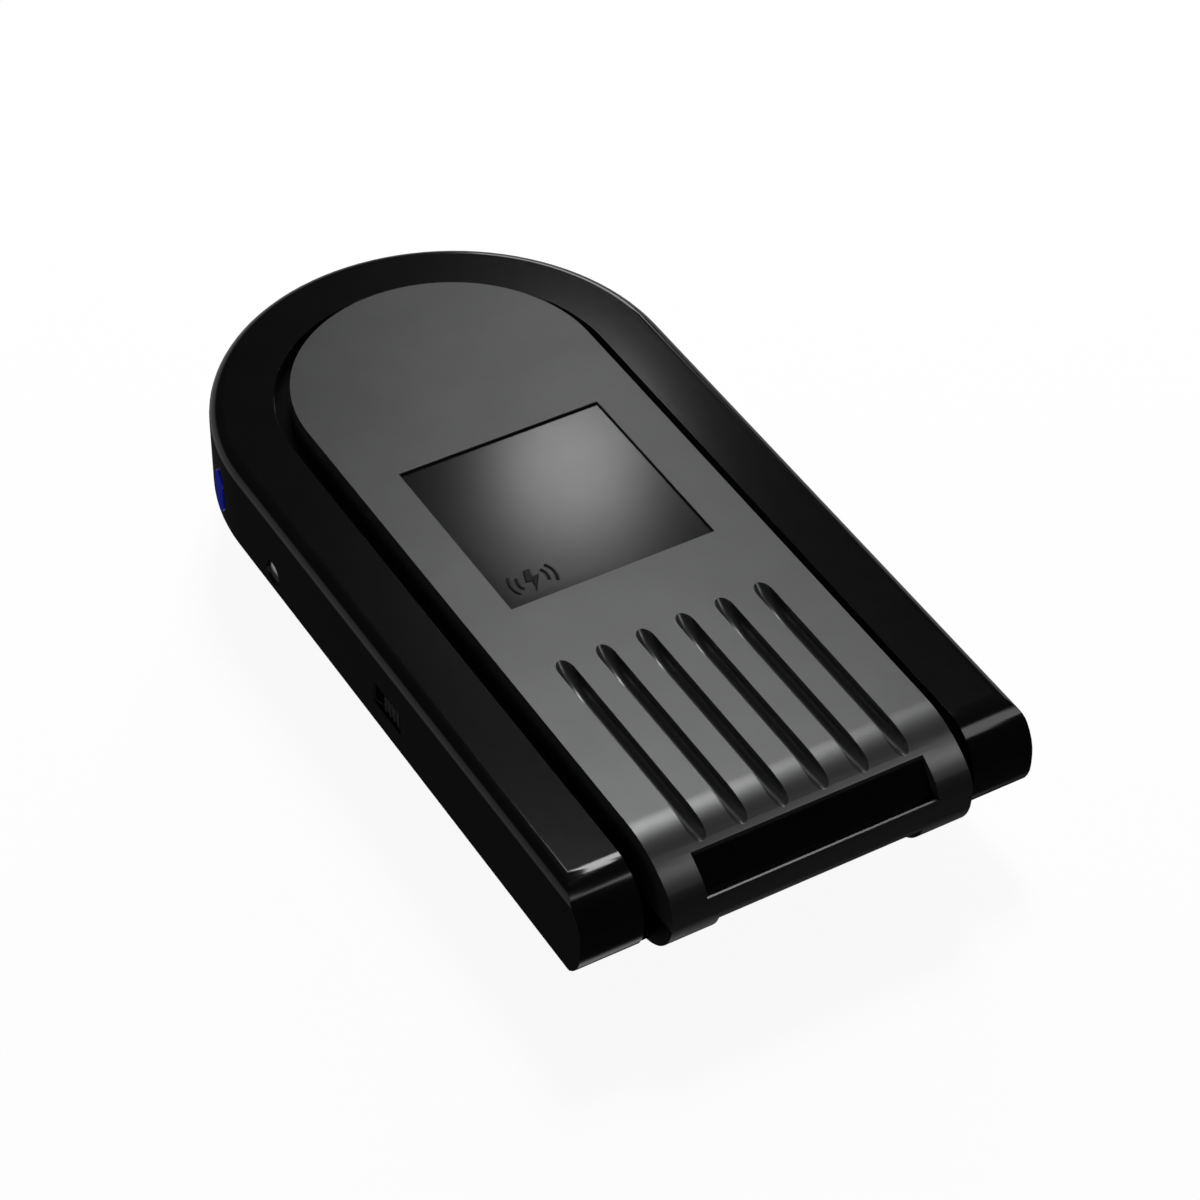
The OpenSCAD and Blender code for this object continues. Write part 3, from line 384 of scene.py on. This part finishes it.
def floor_material():
    """Pale glowing floor that takes a faint shadow and is clear from below."""
    mat = bpy.data.materials.new("floor_white")
    mat.use_nodes = True
    tree = mat.node_tree
    tree.nodes.clear()
    out = tree.nodes.new("ShaderNodeOutputMaterial")
    glow = tree.nodes.new("ShaderNodeEmission")
    glow.inputs["Color"].default_value = (1, 1, 1, 1)
    glow.inputs["Strength"].default_value = FLOOR_GLOW
    clear = tree.nodes.new("ShaderNodeBsdfTransparent")
    side = tree.nodes.new("ShaderNodeNewGeometry")
    diffuse = tree.nodes.new("ShaderNodeBsdfDiffuse")
    diffuse.inputs["Color"].default_value = (FLOOR_GREY, FLOOR_GREY, FLOOR_GREY, 1)
    both = tree.nodes.new("ShaderNodeAddShader")
    tree.links.new(glow.outputs[0], both.inputs[0])
    tree.links.new(diffuse.outputs[0], both.inputs[1])
    mix = tree.nodes.new("ShaderNodeMixShader")
    tree.links.new(side.outputs["Backfacing"], mix.inputs["Fac"])
    tree.links.new(both.outputs[0], mix.inputs[1])
    tree.links.new(clear.outputs[0], mix.inputs[2])
    tree.links.new(mix.outputs[0], out.inputs["Surface"])
    return mat


bpy.ops.mesh.primitive_plane_add(size=FLOOR_SIZE, location=(0, 0, 0))
floor = bpy.context.object
floor.name = "floor"
floor.data.materials.append(floor_material())
floor.visible_glossy = False
floor.visible_diffuse = False


# ---------------------------------------------------------------- world
# White to the camera; as light it is weak, with a low band all round that is gone towards the front right,
# and a pool straight below. Heights are the Z of a direction of length 1.
WORLD_BASE = 0.02
BAND_GLOW = 0.30
BAND_FOOT = (-0.62, -0.42)
BAND_TOP = (0.30, 0.08)
FRONT_RIGHT = (0.515, -0.857, 0)
FRONT_GAP = (0.87, 0.57)  # the band is gone where a direction lies this close to FRONT_RIGHT
POOL_GLOW = 0.8
POOL_EDGE = (-0.88, -0.97)

world = bpy.data.worlds.new("studio")
bpy.context.scene.world = world
world.use_nodes = True
world_tree = world.node_tree
world_tree.nodes.clear()


def world_math(kind, a, b):
    node = world_tree.nodes.new("ShaderNodeMath")
    node.operation = kind
    for socket, value in zip(node.inputs, (a, b)):
        if isinstance(value, (int, float)):
            socket.default_value = value
        else:
            world_tree.links.new(value, socket)
    return node.outputs[0]


def world_fade(value, edge):
    """Rises smoothly from 0 at the edge's first number to 1 at its second."""
    start, end = edge
    node = world_tree.nodes.new("ShaderNodeMapRange")
    node.interpolation_type = "SMOOTHSTEP"
    rising = start < end
    node.inputs["From Min"].default_value = min(edge)
    node.inputs["From Max"].default_value = max(edge)
    node.inputs["To Min"].default_value = 0 if rising else 1
    node.inputs["To Max"].default_value = 1 if rising else 0
    world_tree.links.new(value, node.inputs["Value"])
    return node.outputs["Result"]


def fill_level():
    """The world's strength as a light, by direction."""
    around = world_tree.nodes.new("ShaderNodeTexCoord").outputs["Generated"]
    split = world_tree.nodes.new("ShaderNodeSeparateXYZ")
    world_tree.links.new(around, split.inputs["Vector"])
    height = split.outputs["Z"]
    to_front = world_tree.nodes.new("ShaderNodeVectorMath")
    to_front.operation = "DOT_PRODUCT"
    to_front.inputs[1].default_value = FRONT_RIGHT
    world_tree.links.new(around, to_front.inputs[0])
    band = world_math("MULTIPLY", world_fade(height, BAND_FOOT), world_fade(height, BAND_TOP))
    band = world_math("MULTIPLY", band, world_fade(to_front.outputs["Value"], FRONT_GAP))
    pool = world_math("MULTIPLY", world_fade(height, POOL_EDGE), POOL_GLOW)
    level = world_math("ADD", world_math("MULTIPLY", band, BAND_GLOW), pool)
    return world_math("ADD", level, WORLD_BASE)


def background():
    node = world_tree.nodes.new("ShaderNodeBackground")
    node.inputs["Color"].default_value = (1, 1, 1, 1)
    node.inputs["Strength"].default_value = 1
    return node


seen = background()
fill = background()
world_tree.links.new(fill_level(), fill.inputs["Strength"])
path = world_tree.nodes.new("ShaderNodeLightPath")
choice = world_tree.nodes.new("ShaderNodeMixShader")
world_tree.links.new(path.outputs["Is Camera Ray"], choice.inputs["Fac"])
world_tree.links.new(fill.outputs[0], choice.inputs[1])
world_tree.links.new(seen.outputs[0], choice.inputs[2])
world_out = world_tree.nodes.new("ShaderNodeOutputWorld")
world_tree.links.new(choice.outputs[0], world_out.inputs["Surface"])


# ---------------------------------------------------------------- softboxes
BOX_DISTANCE = 0.8
BOX_AIM = Vector((0, 0, 0.02))


def softbox(name, azimuth, elevation, width, height, radiance, round_box=False):
    """An area light in that direction from the aim point, facing it. Azimuth runs from +Y towards +X."""
    light = bpy.data.lights.new(name, "AREA")
    light.shape = "DISK" if round_box else "RECTANGLE"
    light.size = width
    light.size_y = height
    area = width * height * (math.pi / 4 if round_box else 1)
    light.energy = radiance * area * math.pi
    turn, rise = math.radians(azimuth), math.radians(elevation)
    towards = Vector((math.sin(turn) * math.cos(rise), math.cos(turn) * math.cos(rise), math.sin(rise)))
    lamp = bpy.data.objects.new(name, light)
    bpy.context.scene.collection.objects.link(lamp)
    lamp.location = BOX_AIM + towards * BOX_DISTANCE
    lamp.rotation_mode = "QUATERNION"
    lamp.rotation_quaternion = towards.to_track_quat("Z", "Y")
    lamp.visible_camera = False
    return lamp


# A small round spot for the label, two boxes that grade the cover, and one that only the curl's shine shows
softbox("spot_back", 30.3, 40.2, 0.046, 0.046, 8.5, round_box=True)
softbox("box_high", 34.0, 61.5, 0.19, 0.24, 9.8)
softbox("box_low", 36.0, 21.0, 0.20, 0.24, 3.0)
softbox("box_front", 131.0, 51.0, 0.26, 0.22, 2.2).visible_diffuse = False


# ---------------------------------------------------------------- camera
# The direction of the camera from the point it looks at, its roll, that point, and the distance between them
VIEW_AZIMUTH, VIEW_ELEVATION, VIEW_ROLL = -30.78, 42.63, 0.684
VIEW_TARGET = Vector((-3.715, -14.166, 21.5)) * MM
VIEW_DISTANCE = 416.32 * MM
LENS_MM = 117.86
SENSOR_MM = 36
CLIP_NEAR, CLIP_FAR = 0.01, 20


def facing(azimuth, elevation, roll):
    """The camera's right, up and backward directions."""
    back = Vector((
        math.sin(azimuth) * math.cos(elevation),
        -math.cos(azimuth) * math.cos(elevation),
        math.sin(elevation),
    ))
    level = Vector((math.cos(azimuth), math.sin(azimuth), 0))
    rise = back.cross(level)
    right = level * math.cos(roll) + rise * math.sin(roll)
    up = rise * math.cos(roll) - level * math.sin(roll)
    return right, up, back


right, up, back = facing(*(math.radians(angle) for angle in (VIEW_AZIMUTH, VIEW_ELEVATION, VIEW_ROLL)))
lens = bpy.data.cameras.new("camera")
lens.lens = LENS_MM
lens.sensor_width = SENSOR_MM
lens.clip_start = CLIP_NEAR
lens.clip_end = CLIP_FAR
camera = bpy.data.objects.new("camera", lens)
bpy.context.scene.collection.objects.link(camera)
camera.matrix_world = Matrix((right, up, back)).transposed().to_4x4()
camera.location = VIEW_TARGET + back * VIEW_DISTANCE
bpy.context.scene.camera = camera
bpy.context.scene.view_settings.view_transform = "Standard"
